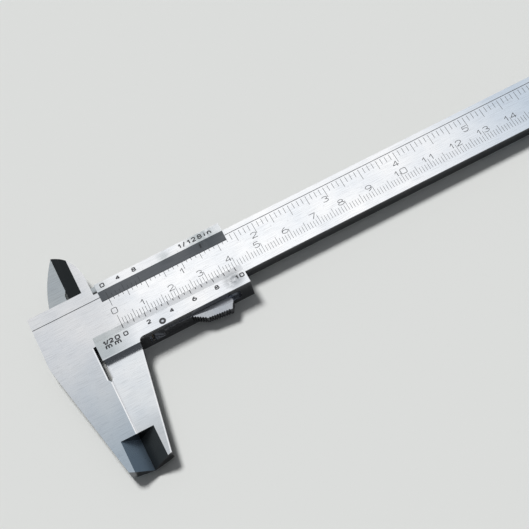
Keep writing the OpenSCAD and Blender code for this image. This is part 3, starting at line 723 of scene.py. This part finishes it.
# Figures on the slider: stamped smaller and bolder than the beam's and filled black, beside the
# vernier marks that they count. The units stand on the plate and at the upper strip's right end.
SMALL_W = 1.2 * MM
SMALL_H = 1.2 * MM
SMALL_STROKE = 0.38 * MM
LOWER_BASE_Y = -2.5 * MM
UPPER_BASE_Y = 16.75 * MM
LOWER_PLACES = (10.2, 18.05, 25.9, 33.7, 41.45)
UPPER_PLACES = (10.2, 15.6, 21.2)
TEN_X = 49.25 * MM
TEN_PITCH = 1.75 * MM
INCH_UNIT_PLACES = (37.3, 38.85, 40.5, 42.2, 44.3, 46.0, 47.6)
INCH_UNIT_BASE_Y = 16.65 * MM
INCH_UNIT_W = 1.25 * MM
INCH_UNIT_H = 1.4 * MM
UNIT_STROKE = 0.44 * MM
PART_PLACES = (2.95, 3.95, 5.25, 7.4)
PART_BASE_Y = -2.35 * MM
PART_W = PART_H = 1.25 * MM
MM_PLACES = (3.85, 6.95)
MM_BASE_Y = -3.9 * MM
MM_LETTER_W = 1.75 * MM
MM_LETTER_H = 1.5 * MM


def spaced(text, places, base_y, width=SMALL_W, height=SMALL_H):
    """Single figures with their centres at the given places along the strip, in millimetres."""
    return [Word(figure, x * MM, base_y, width, height) for figure, x in zip(text, places)]


vernier_words = spaced("02468", LOWER_PLACES, LOWER_BASE_Y)
vernier_words += [Word("10", TEN_X, LOWER_BASE_Y, SMALL_W, SMALL_H, TEN_PITCH)]
vernier_words += spaced("048", UPPER_PLACES, UPPER_BASE_Y)
vernier_words += spaced("1/128in", INCH_UNIT_PLACES, INCH_UNIT_BASE_Y, INCH_UNIT_W, INCH_UNIT_H)
lettering("vernier_figures", vernier_words, SMALL_STROKE, strip_z, "slider", slider_fill)
unit_words = spaced("1/20", PART_PLACES, PART_BASE_Y, PART_W, PART_H)
unit_words += spaced("mm", MM_PLACES, MM_BASE_Y, MM_LETTER_W, MM_LETTER_H)
lettering("vernier_unit", unit_words, UNIT_STROKE, strip_z, "slider", slider_fill)


# Gib: a rolled bronze strip between the slider and the beam's upper edge, set by two small
# slotted screws in the slider's upper wall.
BRONZE = (0.72, 0.52, 0.28, 1)
BRONZE_CLOUD = (0.80, 0.77, 0.71, 1)
BRONZE_ROUGHNESS = 0.32
ROLLED_DEPTH = 0.003 * MM
bronze = ground_steel("bronze", BRONZE, BRONZE_CLOUD, BRONZE_ROUGHNESS,
                      LINES_ALONG_BEAM, ROLLED_DEPTH)
dress(bronze, "gib_leaf")
dress(turned_steel, "gib_screw_left", "gib_screw_right")


# Depth rod: a ground steel strip in the groove in the beam's back. Two rivets fix it to the rear
# cover, which lies flush in the slider's back under four countersunk screws.
ROD_GREY = (0.72, 0.73, 0.75, 1)
ROD_ROUGHNESS = 0.24
FINE_DEPTH = 0.002 * MM
ground_finish = ground_steel("fine_ground_steel", ROD_GREY, STEEL_CLOUD, ROD_ROUGHNESS,
                             LINES_ALONG_BEAM, FINE_DEPTH)
dress(ground_finish, "depth_rod")
dress(slider_steel, "rear_cover")
dress(turned_steel, "rod_rivet_left", "rod_rivet_right",
      "cover_screw_1", "cover_screw_2", "cover_screw_3", "cover_screw_4")


# Thumb lever: a ground steel lever with a serrated pad below the lower strip. Its top is painted
# darker as shade, the pad's facet lighter as painted light and the ridge white as a painted
# highlight. It turns on a ground pin through the strip.
LEVER_PAINTED_SHADE_GREY = (0.50, 0.51, 0.53, 1)
RIDGE_PAINTED_HIGHLIGHT = (1.0, 1.0, 1.0, 1)
THUMB_FACET_PAINTED_LIGHT = (0.82, 0.83, 0.84, 1)
LEVER_ROUGHNESS = 0.26
LEVER_GRAIN = (900, 900, 900)
RIDGE_LEAN = (0.05, 0.1)
THUMB_LEAN = (0.26, 0.32)
SERRATION_EDGE = 15
lever_steel = ground_steel(
    "lever_steel", LEVER_PAINTED_SHADE_GREY, STEEL_CLOUD, LEVER_ROUGHNESS, LEVER_GRAIN, GRIND_DEPTH,
    milled=MILLED_DULL,
    facets=[Facet(-ALONG_Y, RIDGE_LEAN, RIDGE_PAINTED_HIGHLIGHT),
            Facet(-ALONG_Y, THUMB_LEAN, THUMB_FACET_PAINTED_LIGHT)])
dress(lever_steel, "thumb_lever", sharpest=SERRATION_EDGE)
dress(ground_finish, "pivot_pin")


# Seat shade: a dark ring laid in the pin's countersink on the lower strip, painted shade round
# the pin's bright end.
SEAT_SHADE_RISE = 0.015 * MM
PIN_R = 0.42 * MM
SEAT_R = 1.1 * MM
SEAT_FLOOR_R = 0.93 * SEAT_R
SEAT_DEPTH = 0.12 * MM
SEAT_SHADE_AT_PIN = SEAT_DEPTH / 6
RING_STEPS = 40


def ring(name, centre, section, finish):
    """A closed ring about Z whose section holds (radius, height) pairs."""
    turns = [2 * math.pi * step / RING_STEPS for step in range(RING_STEPS)]
    corners = [(centre.x + r * math.cos(t), centre.y + r * math.sin(t), centre.z + z)
               for t in turns for r, z in section]
    sides = len(section)
    faces = []
    for step in range(RING_STEPS):
        here, there = step * sides, (step + 1) % RING_STEPS * sides
        for side in range(sides):
            beyond = (side + 1) % sides
            faces.append((here + side, there + side, there + beyond, here + beyond))
    mesh = bpy.data.meshes.new(name)
    mesh.from_pydata(corners, [], faces)
    return new_piece(name, mesh, finish)


pin_low, pin_high = [Vector(corner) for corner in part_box("pivot_pin")]
seat_shade_centre = (pin_low + pin_high) / 2
seat_shade_centre.z = strip_z + SEAT_SHADE_RISE
seat_shade_section = [(PIN_R, -SEAT_SHADE_AT_PIN), (SEAT_FLOOR_R, -SEAT_DEPTH), (SEAT_R, 0.0), (PIN_R, 0.0)]
engrave(ring("pin_seat_shade_ring", seat_shade_centre, seat_shade_section, slider_fill), "slider")


# Leaf spring: blued spring steel, riveted in the slider by its right end, which holds the lever's
# nose against the bronze brake shoe. The real one bends as the lever turns; this is a still copy
# of the CAD leaf's shape.
BLUED = (0.33, 0.35, 0.42, 1)
BLUED_CLOUD = (0.67, 0.71, 0.86, 1)
BLUED_ROUGHNESS = 0.28
blued_steel = ground_steel("blued_steel", BLUED, BLUED_CLOUD, BLUED_ROUGHNESS,
                           LINES_ALONG_BEAM, FINE_DEPTH)
leaf_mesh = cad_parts["lever_leaf"].data.copy()
close_seams(leaf_mesh)
leaf_spring = new_piece("leaf_spring", leaf_mesh, blued_steel)
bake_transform(leaf_spring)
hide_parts("lever_leaf")
dress(turned_steel, "leaf_rivet")
dress(bronze, "lock_shoe")


# Studio: a plain pale floor under the caliper's back, and a soft key lamp high over its far side.
# The room is light all round, brighter at the far side, with the brightest sky where the scale
# face mirrors it.
FLOOR_COLOUR = (0.80, 0.81, 0.79, 1)
FLOOR_ROUGHNESS = 0.9
FLOOR_RADIUS = 8.0
FLOOR_SIDES = 64
floor_z = box_at_load[0][2]
floor_turns = [2 * math.pi * side / FLOOR_SIDES for side in range(FLOOR_SIDES)]
floor_mesh = bpy.data.meshes.new("floor")
floor_mesh.from_pydata([(FLOOR_RADIUS * math.cos(t), FLOOR_RADIUS * math.sin(t), floor_z)
                        for t in floor_turns], [], [range(FLOOR_SIDES)])
floor_paper, floor_tree, floor_shader = new_finish("floor_paper")
feed(floor_tree, floor_shader, Base_Color=FLOOR_COLOUR, Roughness=FLOOR_ROUGHNESS)
floor = new_piece("floor", floor_mesh, floor_paper)

KEY_FROM = Vector((-0.12, 0.49, 0.86))
KEY_STRENGTH = 2.7
KEY_SPREAD = math.radians(15)
key = bpy.data.objects.new("key_lamp", bpy.data.lights.new("key_lamp", "SUN"))
key.data.energy = KEY_STRENGTH
key.data.angle = KEY_SPREAD
key.rotation_euler = KEY_FROM.to_track_quat("Z", "Y").to_euler()
key.visible_glossy = False
bpy.context.scene.collection.objects.link(key)

LINE_OF_SIGHT = "Generated"
ROOM = [(0.0, (0.58, 0.60, 0.62, 1)), (0.3, (0.54, 0.56, 0.58, 1)), (0.6, (0.46, 0.48, 0.51, 1))]
BACK_TOWARDS = Vector((0.05, 0.97, 0.24)).normalized()
BACK_EDGE = (0.78, 0.93)
BACK_COLOUR = (0.92, 0.93, 0.95, 1)
SKY_TOWARDS = Vector((0.10, 0.485, 0.869)).normalized()
SKY_EDGE = (0.66, 0.755)
SKY = [(0.75, (0.61, 0.62, 0.64, 1)), (0.95, (0.72, 0.73, 0.75, 1)),
       (0.985, (0.90, 0.91, 0.93, 1)), (1.0, (1.06, 1.06, 1.06, 1))]
SOFT_LOSS = 0.75
world = bpy.data.worlds.new("studio")
bpy.context.scene.world = world
world.use_nodes = True
sky_tree = world.node_tree
height_seen = along(sky_tree, LINE_OF_SIGHT, ALONG_Z)
back_seen = along(sky_tree, LINE_OF_SIGHT, BACK_TOWARDS)
sky_seen = along(sky_tree, LINE_OF_SIGHT, SKY_TOWARDS)
room = Wire.node(sky_tree, "ShaderNodeValToRGB", {"stops": ROOM}, {"Fac": height_seen})
back_room = blend(sky_tree, spread(sky_tree, back_seen, *BACK_EDGE), room, BACK_COLOUR)
sky = Wire.node(sky_tree, "ShaderNodeValToRGB", {"stops": SKY}, {"Fac": sky_seen})
sky_colour = blend(sky_tree, spread(sky_tree, sky_seen, *SKY_EDGE), back_room, sky)
soft_share = Wire.node(sky_tree, "ShaderNodeLightPath", output="Is Diffuse Ray")
feed(sky_tree, sky_tree.nodes["Background"], Color=sky_colour, Strength=1 - soft_share * SOFT_LOSS)

CAMERA_AT = Vector((15.57, -211.84, 379.12)) * MM
CAMERA_LOOK = Vector((0.09752, 0.48378, -0.86974))
CAMERA_UP = Vector((0.44906, 0.7585, 0.47226))
LENS = 95.27
SENSOR = 36.0
NEAREST_SEEN = 0.01
camera = bpy.data.objects.new("camera", bpy.data.cameras.new("camera"))
camera.data.lens = LENS
camera.data.sensor_width = SENSOR
camera.data.sensor_fit = "HORIZONTAL"
camera.data.clip_start = NEAREST_SEEN
camera_right = CAMERA_LOOK.cross(CAMERA_UP).normalized()
camera_up = camera_right.cross(CAMERA_LOOK).normalized()
turned = Matrix((camera_right, camera_up, -CAMERA_LOOK.normalized())).transposed()
camera.matrix_world = Matrix.Translation(CAMERA_AT) @ turned.to_4x4()
bpy.context.scene.collection.objects.link(camera)
bpy.context.scene.camera = camera
bpy.context.scene.view_settings.view_transform = "Standard"
